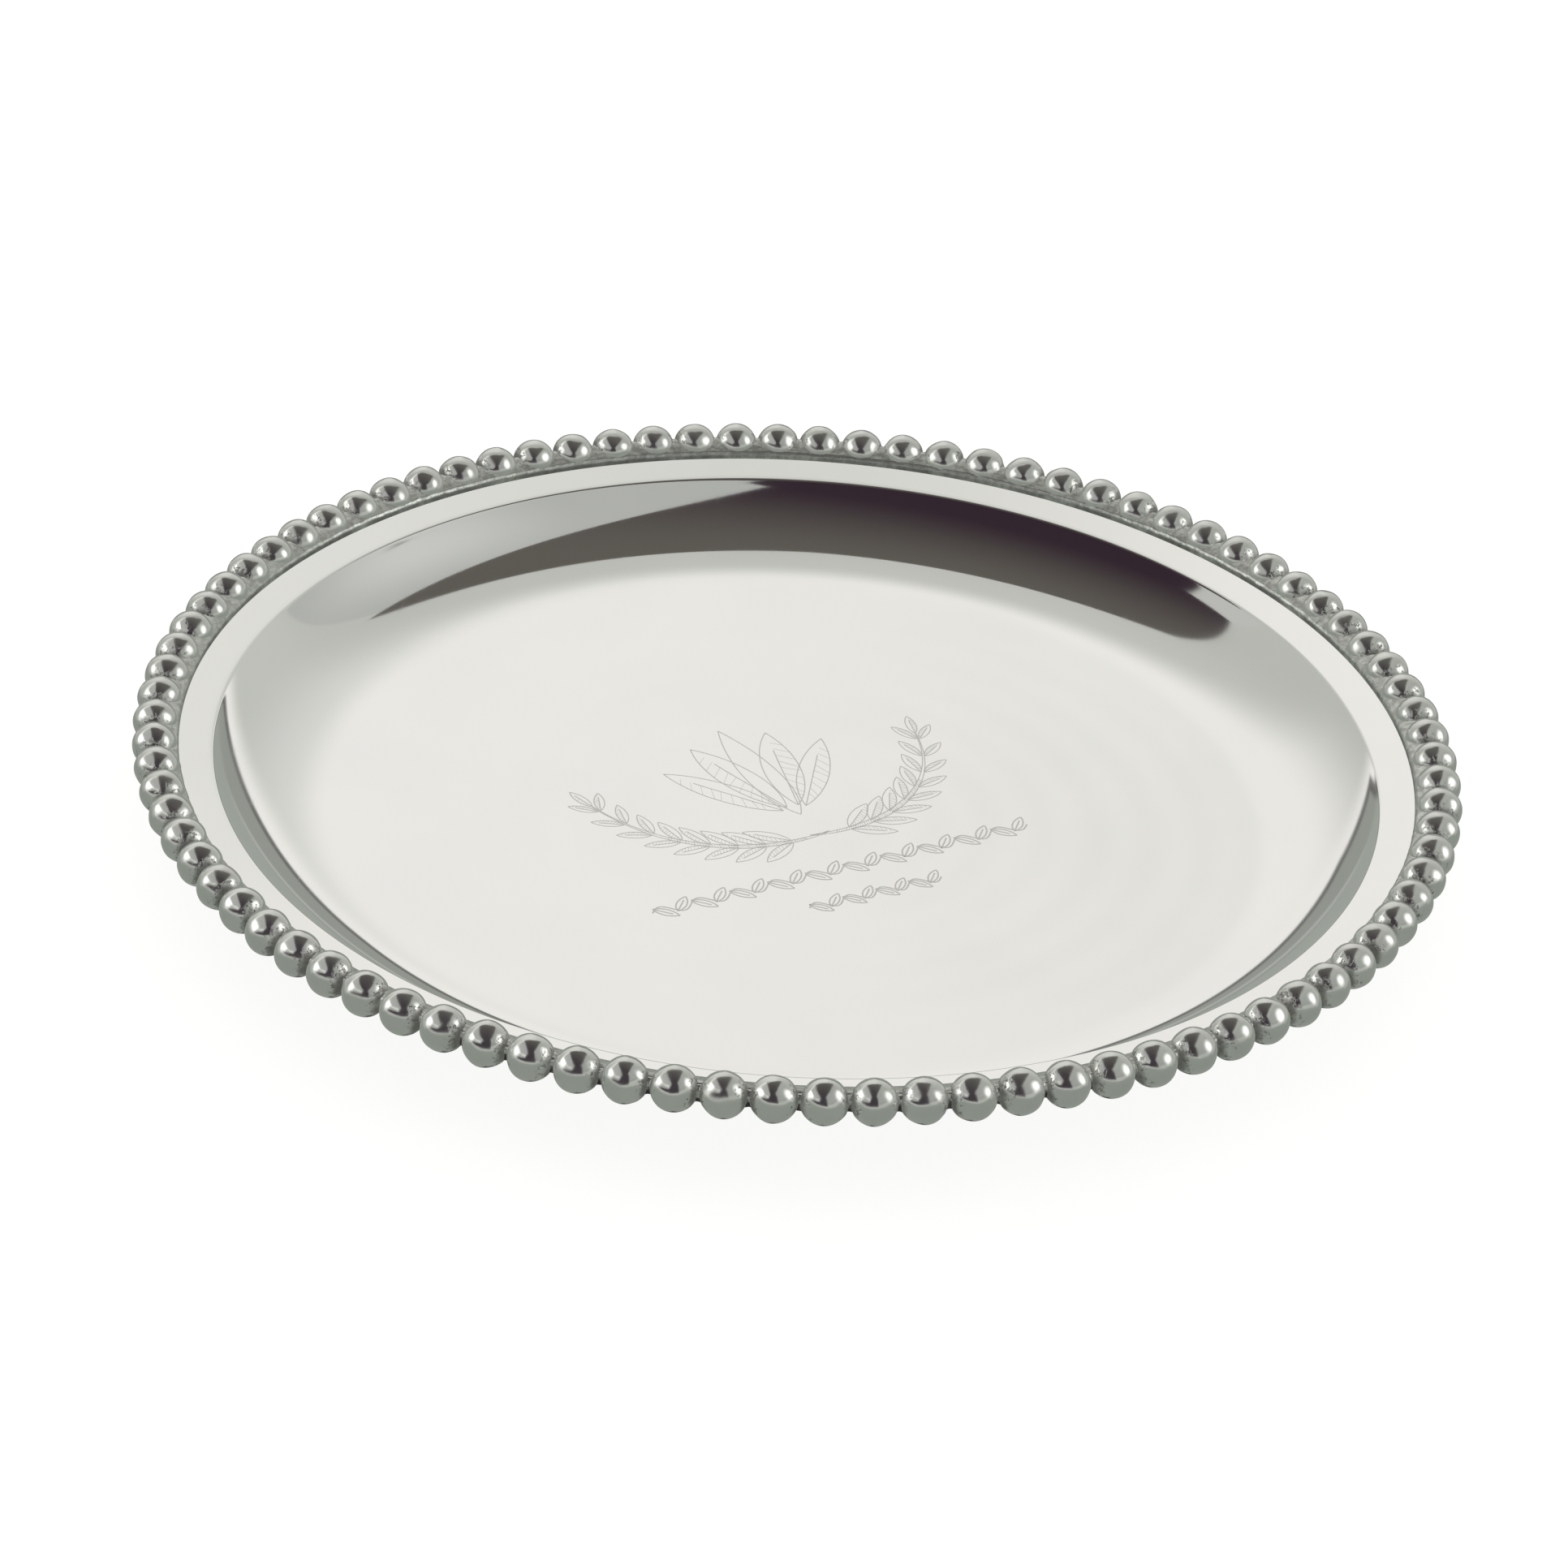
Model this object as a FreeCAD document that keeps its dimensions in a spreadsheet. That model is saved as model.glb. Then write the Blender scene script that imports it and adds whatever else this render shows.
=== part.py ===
"""Round salver with a beaded border.

A spun dish (flat floor, cove and slightly rising rim) stands on a foot ring. A thin strip,
the bezel, stands on the rim's edge. Outside it a core wire runs right round the dish and
carries the bored beads, which are notched to sit against the bezel. The beads are grouped in
eight lengths of the border, one node each. All of it is soldered, so nothing moves.

Millimetres. The origin is on the centre line in the plane the foot ring stands on, +Z is up,
and a reader of the floor's ornament stands on the -Y side with +X to the right.
"""
import FreeCAD
import Part
import math
import os
import Sketcher

# Driving dimensions, each one free to change by itself. Lengths in millimetres, angles in degrees.
SIZES = [
    ("overall_diameter", 305.0, "over the outside of the beads"),
    ("sheet_thickness", 1.2, "of the dish"),
    ("cove_radius", 31.0, "inside radius of the curve from floor to rim"),
    ("cove_angle", 60.0, "how steep the cove is where it meets the rim"),
    ("lip_radius", 1.2, "rounding of the well's edge"),
    ("rim_width", 8.3, "from the well's edge to the bezel"),
    ("rim_slope", 11.0, "the rim rises outwards by this angle"),
    ("bezel_thickness", 0.6, "of the upright strip inside the beads"),
    ("bezel_rise", 1.8, "top of the bezel above the bead centres"),
    ("bezel_rounding", 0.24, "of the bezel's two top edges"),
    ("bead_diameter", 10.4, "of each bead"),
    ("bead_gap", 0.1, "least gap between two beads, before they are bored"),
    ("bead_rise", 1.3, "bead centres above the rim's outer edge"),
    ("bead_seat_depth", 0.8, "how far the bezel reaches into a bead"),
    ("core_diameter", 5.0, "of the wire through the beads"),
    ("bore_clearance", 0.12, "between the core wire and a bead's bore, all round"),
    ("seat_clearance", 0.1, "between the bezel and a bead's notch"),
    ("foot_inset", 10.0, "from the flat floor's edge in to the foot ring"),
    ("foot_height", 3.0, "from what the salver stands on to the dish"),
    ("foot_width", 4.0, "of the foot ring where it meets the dish"),
    ("foot_tread", 2.4, "width of the flat that the salver stands on"),
]

# Worked out from the sizes. Heights are above the plane that the foot ring stands on.
PLACES = [
    ("bead_radius", "=Sizes.bead_diameter / 2"),
    ("core_radius", "=Sizes.core_diameter / 2"),
    ("bore_radius", "=core_radius + Sizes.bore_clearance"),
    ("ring_radius", "=(Sizes.overall_diameter - Sizes.bead_diameter) / 2"),
    ("half_pitch", "=(Sizes.bead_diameter + Sizes.bead_gap) / 2"),
    ("bead_count", "=floor(180 deg / asin(half_pitch / ring_radius))"),
    ("bead_angle", "=360 / bead_count"),
    ("bezel_outer", "=ring_radius - bead_radius + Sizes.bead_seat_depth"),
    ("bezel_inner", "=bezel_outer - Sizes.bezel_thickness"),
    ("bezel_fillet", "=min(Sizes.bezel_rounding; 0.45 * Sizes.bezel_thickness)"),
    ("well_radius", "=bezel_inner - Sizes.rim_width"),
    ("floor_radius", "=well_radius - Sizes.cove_radius * sin(Sizes.cove_angle)"),
    ("floor_height", "=Sizes.foot_height + Sizes.sheet_thickness"),
    ("well_height", "=floor_height + Sizes.cove_radius * (1 - cos(Sizes.cove_angle))"),
    ("rim_height", "=well_height + Sizes.rim_width * tan(Sizes.rim_slope)"),
    ("edge_height", "=rim_height + Sizes.bezel_thickness * tan(Sizes.rim_slope)"),
    ("edge_thickness", "=Sizes.sheet_thickness / cos(Sizes.rim_slope)"),
    ("bead_height", "=rim_height + Sizes.bead_rise"),
    ("bezel_top", "=bead_height + Sizes.bezel_rise"),
    ("seat_radius", "=bezel_outer + Sizes.seat_clearance"),
    ("seat_top", "=Sizes.bezel_rise + Sizes.seat_clearance"),
    ("foot_outer", "=floor_radius - Sizes.foot_inset"),
    ("foot_inner", "=foot_outer - Sizes.foot_width"),
    ("tread_inner", "=foot_inner + (Sizes.foot_width - Sizes.foot_tread) / 2"),
]

# The border's eight lengths, anticlockwise from +X as seen from above.
BORDER_LENGTHS = [
    "beads_right_back",
    "beads_back_right",
    "beads_back_left",
    "beads_left_back",
    "beads_left_front",
    "beads_front_left",
    "beads_front_right",
    "beads_right_front",
]

START, END, CENTRE = 1, 2, 3  # how Sketcher numbers the points of a line or an arc
HORIZONTAL_AXIS, VERTICAL_AXIS = -1, -2
ORIGIN = (HORIZONTAL_AXIS, START)
HIGHEST_ANGLE, LOWEST_ANGLE = 90, 270  # on a sketched circle, in degrees
LEVEL_TOLERANCE = 0.001

doc = FreeCAD.newDocument("salver")


def add_sheet(name, rows):
    """A sheet with a row for each value: its alias, the value and, for a size, what it is."""
    sheet = doc.addObject("Spreadsheet::Sheet", name)
    for row, (alias, content, *note) in enumerate(rows, start=1):
        sheet.set(f"A{row}", alias)
        sheet.set(f"B{row}", str(content))
        sheet.setAlias(f"B{row}", alias)
        if note:
            sheet.set(f"C{row}", note[0])
    doc.recompute()
    return sheet


add_sheet("Sizes", SIZES)
places = add_sheet("Places", PLACES)


def evaluate(expression):
    """What an expression on the sheets comes to, as a plain number."""
    result = places.evalExpression(expression)
    return getattr(result, "Value", result)


def add_body(label):
    body = doc.addObject("PartDesign::Body", label)
    body.Label = label
    return body


def origin_feature(body, role):
    return next(feature for feature in body.Origin.OriginFeatures if feature.Role == role)


def add_sketch(body, name, plane_role):
    sketch = body.newObject("Sketcher::SketchObject", name)
    sketch.AttachmentSupport = [(origin_feature(body, plane_role), "")]
    sketch.MapMode = "FlatFace"
    return sketch


def constrain(sketch, kind, *where):
    return sketch.addConstraint(Sketcher.Constraint(kind, *where))


def bind(sketch, kind, where, expression):
    """A dimension that follows the sheets; an angle is in degrees there and in radians here."""
    start_value = evaluate(expression)
    if kind == "Angle":
        start_value = FreeCAD.Units.Quantity(start_value, FreeCAD.Units.Angle).getValueAs("rad")
    index = constrain(sketch, kind, *where, float(start_value))
    sketch.setExpression(f"Constraints[{index}]", expression)


def place_point(sketch, point, across, up):
    """Set a sketch point's distances to the right of the sketch's origin and above it."""
    bind(sketch, "DistanceX", (*ORIGIN, *point), across)
    bind(sketch, "DistanceY", (*ORIGIN, *point), up)


def sketch_point(across, up):
    return FreeCAD.Vector(evaluate(across), evaluate(up), 0)


def add_line(sketch, start, end):
    return sketch.addGeometry(Part.LineSegment(start, end), False)


def add_arc(sketch, centre, radius, start_angle, end_angle):
    circle = Part.Circle(centre, FreeCAD.Vector(0, 0, 1), evaluate(radius))
    angles = math.radians(start_angle), math.radians(end_angle)
    return sketch.addGeometry(Part.ArcOfCircle(circle, *angles), False)


def add_outline(sketch, corners):
    """A closed outline of straight lines through corners given as (across, up) expressions."""
    points = [sketch_point(*corner) for corner in corners]
    lines = [add_line(sketch, *ends) for ends in zip(points, points[1:] + points[:1])]
    for line, next_line in zip(lines, lines[1:] + lines[:1]):
        constrain(sketch, "Coincident", line, END, next_line, START)
    for line, corner in zip(lines, corners):
        place_point(sketch, (line, START), *corner)


def revolve(body, kind, name, sketch, axis="V_Axis"):
    feature = body.newObject(kind, name)
    feature.Profile = sketch
    feature.ReferenceAxis = (sketch, [axis])
    feature.Angle = 360
    body.Tip = feature
    return feature


def make_dish():
    """Floor, cove, rounded lip and sloping rim: one spun sheet of even thickness."""
    body = add_body("salver_dish")
    sketch = add_sketch(body, "dish_profile", "XZ_Plane")

    # Where the curves start out; the constraints below then hold them to the sheets.
    cove_centre = sketch_point("floor_radius", "floor_height + Sizes.cove_radius")
    lip_centre = sketch_point("well_radius + Sizes.lip_radius / 2", "well_height - Sizes.lip_radius")
    well_edge = sketch_point("well_radius", "well_height")
    below_well_edge = sketch_point("well_radius", "well_height - Sizes.sheet_thickness")
    edge_top = sketch_point("bezel_outer", "edge_height")
    edge_bottom = sketch_point("bezel_outer", "edge_height - edge_thickness")
    floor_end = sketch_point("floor_radius", "floor_height")
    floor_middle = sketch_point("0", "floor_height")
    underside_end = sketch_point("floor_radius", "Sizes.foot_height")
    underside_middle = sketch_point("0", "Sizes.foot_height")
    cove_end_angle = LOWEST_ANGLE + evaluate("Sizes.cove_angle")
    lip_start_angle = HIGHEST_ANGLE + evaluate("Sizes.rim_slope")
    lip_end_angle = HIGHEST_ANGLE + evaluate("Sizes.cove_angle")

    underside = add_line(sketch, underside_middle, underside_end)
    outer_cove = add_arc(
        sketch, cove_centre, "Sizes.cove_radius + Sizes.sheet_thickness", LOWEST_ANGLE, cove_end_angle
    )
    rim_underside = add_line(sketch, below_well_edge, edge_bottom)
    rim_edge = add_line(sketch, edge_bottom, edge_top)
    rim_top = add_line(sketch, edge_top, well_edge)
    lip = add_arc(sketch, lip_centre, "Sizes.lip_radius", lip_start_angle, lip_end_angle)
    cove = add_arc(sketch, cove_centre, "Sizes.cove_radius", LOWEST_ANGLE, cove_end_angle)
    floor = add_line(sketch, floor_end, floor_middle)
    centre_line = add_line(sketch, floor_middle, underside_middle)

    constrain(sketch, "Coincident", underside, END, outer_cove, START)
    constrain(sketch, "Coincident", outer_cove, END, rim_underside, START)
    constrain(sketch, "Coincident", rim_underside, END, rim_edge, START)
    constrain(sketch, "Coincident", rim_edge, END, rim_top, START)
    constrain(sketch, "Tangent", rim_top, END, lip, START)
    constrain(sketch, "Tangent", lip, END, cove, END)
    constrain(sketch, "Tangent", cove, START, floor, START)
    constrain(sketch, "Coincident", floor, END, centre_line, START)
    constrain(sketch, "Coincident", centre_line, END, underside, START)
    constrain(sketch, "Coincident", outer_cove, CENTRE, cove, CENTRE)
    constrain(sketch, "Horizontal", floor)
    constrain(sketch, "Horizontal", underside)
    constrain(sketch, "Parallel", rim_underside, rim_top)
    constrain(sketch, "PointOnObject", floor, END, VERTICAL_AXIS)
    constrain(sketch, "PointOnObject", underside, START, VERTICAL_AXIS)
    place_point(sketch, (floor, START), "Places.floor_radius", "Places.floor_height")
    place_point(sketch, (rim_edge, END), "Places.bezel_outer", "Places.edge_height")
    place_point(
        sketch, (rim_edge, START), "Places.bezel_outer", "Places.edge_height - Places.edge_thickness"
    )
    bind(sketch, "DistanceX", (*ORIGIN, underside, END), "Places.floor_radius")
    bind(sketch, "Angle", (rim_underside,), "Sizes.rim_slope * 1 deg")
    bind(sketch, "Radius", (cove,), "Sizes.cove_radius")
    bind(sketch, "Radius", (outer_cove,), "Sizes.cove_radius + Sizes.sheet_thickness")
    bind(sketch, "Radius", (lip,), "Sizes.lip_radius")
    revolve(body, "PartDesign::Revolution", "spun_dish", sketch)
    return body


def make_foot_ring():
    """A ring under the floor, wide where it meets the dish and narrow where it stands."""
    body = add_body("foot_ring")
    sketch = add_sketch(body, "foot_profile", "XZ_Plane")
    add_outline(sketch, [
        ("Places.tread_inner", "0"),
        ("Places.tread_inner + Sizes.foot_tread", "0"),
        ("Places.foot_outer", "Sizes.foot_height"),
        ("Places.foot_inner", "Sizes.foot_height"),
    ])
    revolve(body, "PartDesign::Revolution", "turned_ring", sketch)
    return body


def make_bezel():
    """The thin strip that stands on the rim's edge, with a rounded top."""
    body = add_body("rim_bezel")
    sketch = add_sketch(body, "bezel_profile", "XZ_Plane")
    add_outline(sketch, [
        ("Places.bezel_inner", "Places.rim_height"),
        ("Places.bezel_outer", "Places.edge_height"),
        ("Places.bezel_outer", "Places.bezel_top"),
        ("Places.bezel_inner", "Places.bezel_top"),
    ])
    strip = revolve(body, "PartDesign::Revolution", "bent_strip", sketch)
    doc.recompute()
    rounding = body.newObject("PartDesign::Fillet", "rounded_top")
    rounding.Base = (strip, edges_at_height(strip, evaluate("bezel_top")))
    rounding.setExpression("Radius", "Places.bezel_fillet")
    body.Tip = rounding
    return body


def edges_at_height(feature, height):
    """The names of a feature's edges that lie level at one height."""
    names = []
    for number, edge in enumerate(feature.Shape.Edges, start=1):
        box = edge.BoundBox
        if abs(box.ZMin - height) < LEVEL_TOLERANCE and abs(box.ZMax - height) < LEVEL_TOLERANCE:
            names.append(f"Edge{number}")
    return names


def make_core_wire():
    """The closed round wire that the beads are threaded on."""
    wire = doc.addObject("Part::Torus", "core_wire")
    wire.Label = "core_wire"
    wire.setExpression("Radius1", "Places.ring_radius")
    wire.setExpression("Radius2", "Places.core_radius")
    wire.setExpression("Placement.Base.z", "Places.bead_height")
    return wire


def sketch_bored_bead(body):
    """Half a bead's section outside its bore, and the bore's line as the axis to turn it about."""
    sketch = add_sketch(body, "bead_profile", "XY_Plane")
    centre = sketch_point("ring_radius", "0")
    half_angle = math.degrees(math.acos(evaluate("bore_radius / bead_radius")))
    half_bore = FreeCAD.Vector(0, evaluate("sqrt(bead_radius ^ 2 - bore_radius ^ 2)"), 0)
    wall = sketch_point("ring_radius + bore_radius", "0")
    outside = add_arc(sketch, centre, "bead_radius", -half_angle, half_angle)
    bore = add_line(sketch, wall + half_bore, wall - half_bore)
    axis = add_line(sketch, centre - half_bore, centre + half_bore)
    sketch.setConstruction(axis, True)
    constrain(sketch, "Coincident", outside, END, bore, START)
    constrain(sketch, "Coincident", bore, END, outside, START)
    constrain(sketch, "Vertical", bore)
    constrain(sketch, "Vertical", axis)
    constrain(sketch, "PointOnObject", outside, CENTRE, HORIZONTAL_AXIS)
    constrain(sketch, "Symmetric", axis, START, axis, END, outside, CENTRE)
    constrain(sketch, "Equal", axis, bore)
    bind(sketch, "DistanceX", (*ORIGIN, outside, CENTRE), "Places.ring_radius")
    bind(sketch, "DistanceX", (*ORIGIN, bore, START), "Places.ring_radius + Places.bore_radius")
    bind(sketch, "Radius", (outside,), "Places.bead_radius")
    return sketch


def sketch_bead_seat(body):
    """The space that the bezel and its clearance take, from inside the beads and below them."""
    sketch = add_sketch(body, "seat_profile", "XZ_Plane")
    inside = "Places.ring_radius - Sizes.bead_diameter"
    below = "-Sizes.bead_diameter"
    add_outline(sketch, [
        (inside, below),
        ("Places.seat_radius", below),
        ("Places.seat_radius", "Places.seat_top"),
        (inside, "Places.seat_top"),
    ])
    return sketch


def make_border_length(label, number):
    """An eighth of the beads: a bored bead, repeated round the ring and notched for the bezel.

    The body lies at the bead centres' height and is turned so that its first bead is in place.
    """
    first_bead = f"floor({number} * Places.bead_count / {len(BORDER_LENGTHS)})"
    next_length = f"floor({number + 1} * Places.bead_count / {len(BORDER_LENGTHS)})"
    body = add_body(label)
    bead = revolve(
        body, "PartDesign::Revolution", "bored_bead", sketch_bored_bead(body), axis="Axis0"
    )
    row = body.newObject("PartDesign::PolarPattern", "bead_row")
    row.Originals = [bead]
    row.Axis = (origin_feature(body, "Z_Axis"), [""])
    row.Mode = "Spacing"
    row.setExpression("Offset", "Places.bead_angle * 1 deg")
    row.setExpression("Occurrences", f"{next_length} - {first_bead}")
    body.Tip = row
    seat = revolve(body, "PartDesign::Groove", "bezel_seat", sketch_bead_seat(body))
    body.Placement.Rotation.Axis = FreeCAD.Vector(0, 0, 1)
    body.setExpression("Placement.Base.z", "Places.bead_height")
    body.setExpression(
        "Placement.Rotation.Angle", f"({first_bead} + 0.5) * Places.bead_angle * 1 deg"
    )
    doc.recompute()
    if seat.Shape.Volume >= row.Shape.Volume:
        raise RuntimeError(f"{label}: the bezel's seat cut nothing")
    return body


def check_document():
    for feature in doc.Objects:
        if "Invalid" in feature.State or "Error" in feature.State:
            raise RuntimeError(f"{feature.Label} failed: {feature.State}")


def write_parts(parts):
    os.makedirs("parts", exist_ok=True)
    for part in parts:
        if part.Shape.isNull() or not part.Shape.isValid():
            raise RuntimeError(f"{part.Label} has no valid shape")
    for part in parts:
        part.Shape.exportStep(f"parts/{part.Label}.step")
        print(f"{part.Label}: {len(part.Shape.Solids)} solid(s), {part.Shape.Volume:.1f} mm3")


parts = [make_dish(), make_foot_ring(), make_bezel(), make_core_wire()]
parts += [make_border_length(label, number) for number, label in enumerate(BORDER_LENGTHS)]
doc.recompute()
check_document()
write_parts(parts)
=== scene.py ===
"""Looks of a round silver salver with a beaded border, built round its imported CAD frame.

Metres. The salver lies as in the CAD: its axis is Z, and a reader of the floor's ornament
stands on the -Y side. Every piece is solid silver on the one body, "root".
"""
import math

import bpy
import numpy as np
from mathutils import Matrix, Vector


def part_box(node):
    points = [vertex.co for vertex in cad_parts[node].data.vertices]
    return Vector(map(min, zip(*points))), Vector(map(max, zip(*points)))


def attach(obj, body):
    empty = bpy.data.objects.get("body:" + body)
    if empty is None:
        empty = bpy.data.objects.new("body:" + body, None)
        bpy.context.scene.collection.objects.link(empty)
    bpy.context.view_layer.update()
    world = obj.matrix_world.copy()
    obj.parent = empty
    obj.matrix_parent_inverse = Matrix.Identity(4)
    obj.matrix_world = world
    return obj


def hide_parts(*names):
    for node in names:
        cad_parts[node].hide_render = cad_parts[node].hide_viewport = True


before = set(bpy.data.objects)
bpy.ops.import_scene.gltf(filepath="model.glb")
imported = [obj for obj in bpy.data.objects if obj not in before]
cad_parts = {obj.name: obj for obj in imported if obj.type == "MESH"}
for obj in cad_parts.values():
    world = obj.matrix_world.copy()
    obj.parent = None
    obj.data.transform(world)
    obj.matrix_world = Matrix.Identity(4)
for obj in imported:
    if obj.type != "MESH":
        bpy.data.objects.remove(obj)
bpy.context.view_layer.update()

MM = 0.001

# Sizes read off the CAD model's boxes.
core_low, core_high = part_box("core_wire")
dish_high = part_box("salver_dish")[1]
foot_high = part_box("foot_ring")[1]
bead_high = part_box("beads_right_back")[1]
CORE_RADIUS = (core_high[2] - core_low[2]) / 2
RING_RADIUS = core_high[0] - CORE_RADIUS
BEAD_HEIGHT = (core_high[2] + core_low[2]) / 2
BEAD_RADIUS = bead_high[2] - BEAD_HEIGHT
FOOT_HEIGHT = foot_high[2]
FOOT_OUTER = foot_high[0]
RIM_OUTER = dish_high[0]
RIM_EDGE_HEIGHT = dish_high[2]

# Sizes of the sheet that no box shows, as in the CAD model.
SHEET = 1.2 * MM
COVE_RADIUS = 31.0 * MM
COVE_ANGLE = math.radians(60.0)
LIP_RADIUS = 1.2 * MM
RIM_SLOPE = math.radians(11.0)
BEZEL_THICKNESS = 0.6 * MM
RIM_WIDTH = 8.3 * MM
FOOT_WIDTH = 4.0 * MM
FOOT_TREAD = 2.4 * MM
BEAD_PITCH_LEAST = 2 * BEAD_RADIUS + 0.1 * MM

BEAD_COUNT = int(math.pi / math.asin(BEAD_PITCH_LEAST / 2 / RING_RADIUS))
BEAD_PITCH = 2 * math.pi * RING_RADIUS / BEAD_COUNT
FLOOR_HEIGHT = FOOT_HEIGHT + SHEET
BEZEL_INNER = RIM_OUTER - BEZEL_THICKNESS
BAND_HEIGHT = RIM_EDGE_HEIGHT - BEZEL_THICKNESS * math.tan(RIM_SLOPE)
WELL_RADIUS = BEZEL_INNER - RIM_WIDTH
WELL_HEIGHT = BAND_HEIGHT - RIM_WIDTH * math.tan(RIM_SLOPE)
FLOOR_RADIUS = WELL_RADIUS - COVE_RADIUS * math.sin(COVE_ANGLE)

BORDER_LENGTHS = [
    "beads_right_back", "beads_back_right", "beads_back_left", "beads_left_back",
    "beads_left_front", "beads_front_left", "beads_front_right", "beads_right_front",
]


# ---------------------------------------------------------------- meshes

def add_mesh(name, vertices, faces, material, smooth=True):
    """A new object of these vertices and faces, all of one material."""
    mesh = bpy.data.meshes.new(name)
    mesh.from_pydata([tuple(v) for v in vertices], [], [tuple(f) for f in faces])
    mesh.validate()
    mesh.update()
    mesh.polygons.foreach_set("use_smooth", [smooth] * len(mesh.polygons))
    mesh.materials.append(material)
    piece = bpy.data.objects.new(name, mesh)
    bpy.context.scene.collection.objects.link(piece)
    return piece


def paint(piece, name, values):
    """Gives each vertex a number that the piece's material reads by this name."""
    attribute = piece.data.attributes.new(name, "FLOAT", "POINT")
    attribute.data.foreach_set("value", np.asarray(values, dtype=np.float32))


def grid_faces(rows, columns, start=0, wrap_rows=False):
    """Quads of a grid whose columns close into rings, and its rows too if wrap_rows."""
    r = np.arange(rows if wrap_rows else rows - 1)[:, None]
    c = np.arange(columns)[None, :]
    following = (c + 1) % columns
    next_row = (r + 1) % rows
    quads = np.stack([r * columns + c, r * columns + following,
                      next_row * columns + following, next_row * columns + c], axis=-1)
    return (quads.reshape(-1, 4) + start).tolist()


def arc(centre, radius, start, end, steps):
    """Points (r, z) along a circle's arc, angles in radians from +r towards +z."""
    angles = np.linspace(start, end, steps)
    return [(centre[0] + radius * math.cos(a), centre[1] + radius * math.sin(a)) for a in angles]


def straight(start, end, steps):
    """Points (r, z) along a line, both ends left out."""
    share = np.linspace(0, 1, steps + 2)[1:-1]
    return [(start[0] + (end[0] - start[0]) * t, start[1] + (end[1] - start[1]) * t) for t in share]


def turned(profile, segments, shape=None):
    """Vertices of a profile turned about Z, one row a point; shape moves them afterwards."""
    r, z = np.array(profile).T
    angle = 2 * np.pi * np.arange(segments) / segments
    x = r[:, None] * np.cos(angle)[None, :]
    y = r[:, None] * np.sin(angle)[None, :]
    points = np.stack([x, y, np.broadcast_to(z[:, None], x.shape)], axis=-1)
    return shape(points) if shape else points


def waves(points, length, count, seed):
    """Smooth random unevenness of about unit height over points in space."""
    draw = np.random.default_rng(seed)
    directions = draw.normal(size=(count, 3))
    directions /= np.linalg.norm(directions, axis=1)[:, None]
    stretch = draw.uniform(0.6, 1.6, count)
    phases = draw.uniform(0, 2 * np.pi, count)
    total = np.zeros(points.shape[:-1])
    for direction, scale, phase in zip(directions, stretch, phases):
        total += np.sin(points @ direction * (2 * np.pi * scale / length) + phase)
    return total / math.sqrt(count / 2)


# ---------------------------------------------------------------- nodes

def feed(tree, value, socket):
    """Links a Value to the socket, or sets the socket to a plain number, vector or colour."""
    if isinstance(value, Value):
        tree.links.new(value.socket, socket)
    else:
        socket.default_value = value


class Value:
    """An output of a node tree. Arithmetic on it adds Math nodes to the tree."""

    def __init__(self, tree, socket):
        self.tree = tree
        self.socket = socket

    def math(self, operation, *others):
        node = self.tree.nodes.new("ShaderNodeMath")
        node.operation = operation
        for value, socket in zip((self, *others), node.inputs):
            feed(self.tree, value, socket)
        return Value(self.tree, node.outputs[0])

    def __add__(self, other):
        return self.math("ADD", other)

    def __sub__(self, other):
        return self.math("SUBTRACT", other)

    def __mul__(self, other):
        return self.math("MULTIPLY", other)

    def __truediv__(self, other):
        return self.math("DIVIDE", other)

    def power(self, exponent):
        return self.math("POWER", exponent)

    def least(self, other):
        return self.math("MINIMUM", other)

    def most(self, other):
        return self.math("MAXIMUM", other)

    def step(self, low, high, start=0.0, end=1.0):
        """start below low, end above high, and smooth between them."""
        node = self.tree.nodes.new("ShaderNodeMapRange")
        node.interpolation_type = "SMOOTHSTEP"
        for value, socket in zip((self, low, high, start, end), node.inputs):
            feed(self.tree, value, socket)
        return Value(self.tree, node.outputs[0])


def add_node(tree, kind, inputs=None, output=0, **settings):
    """One output of a new node, with its settings made and its inputs fed."""
    node = tree.nodes.new(kind)
    for key, value in settings.items():
        setattr(node, key, value)
    for key, value in (inputs or {}).items():
        feed(tree, value, node.inputs[key])
    return Value(tree, node.outputs[output])


def blend_colours(tree, share, low, high):
    """low where share is 0, high where it is 1."""
    node = tree.nodes.new("ShaderNodeMix")
    node.data_type = "RGBA"
    feed(tree, share, node.inputs[0])
    for colour, socket in ((low, node.inputs[6]), (high, node.inputs[7])):
        feed(tree, colour if isinstance(colour, Value) else (*colour, 1.0), socket)
    return Value(tree, node.outputs[2])


def place_texture(tree, scale=(1, 1, 1), turn=(0, 0, 0)):
    """Object coordinates in metres, turned and then scaled."""
    where = add_node(tree, "ShaderNodeTexCoord", output=3)
    turned_to = add_node(tree, "ShaderNodeMapping", {"Vector": where, "Rotation": turn})
    return add_node(tree, "ShaderNodeMapping", {"Vector": turned_to, "Scale": scale})


def noise(tree, vector, scale, detail=2.0, roughness=0.5):
    """Smooth noise from 0 to 1, at this many lumps a metre where the vector is in metres."""
    return add_node(tree, "ShaderNodeTexNoise", {
        "Vector": vector, "Scale": scale, "Detail": detail, "Roughness": roughness})


def bump(tree, height, distance):
    """The normal of a surface whose height runs over this many metres."""
    return add_node(tree, "ShaderNodeBump", {"Height": height, "Distance": distance, "Strength": 1.0})


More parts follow.
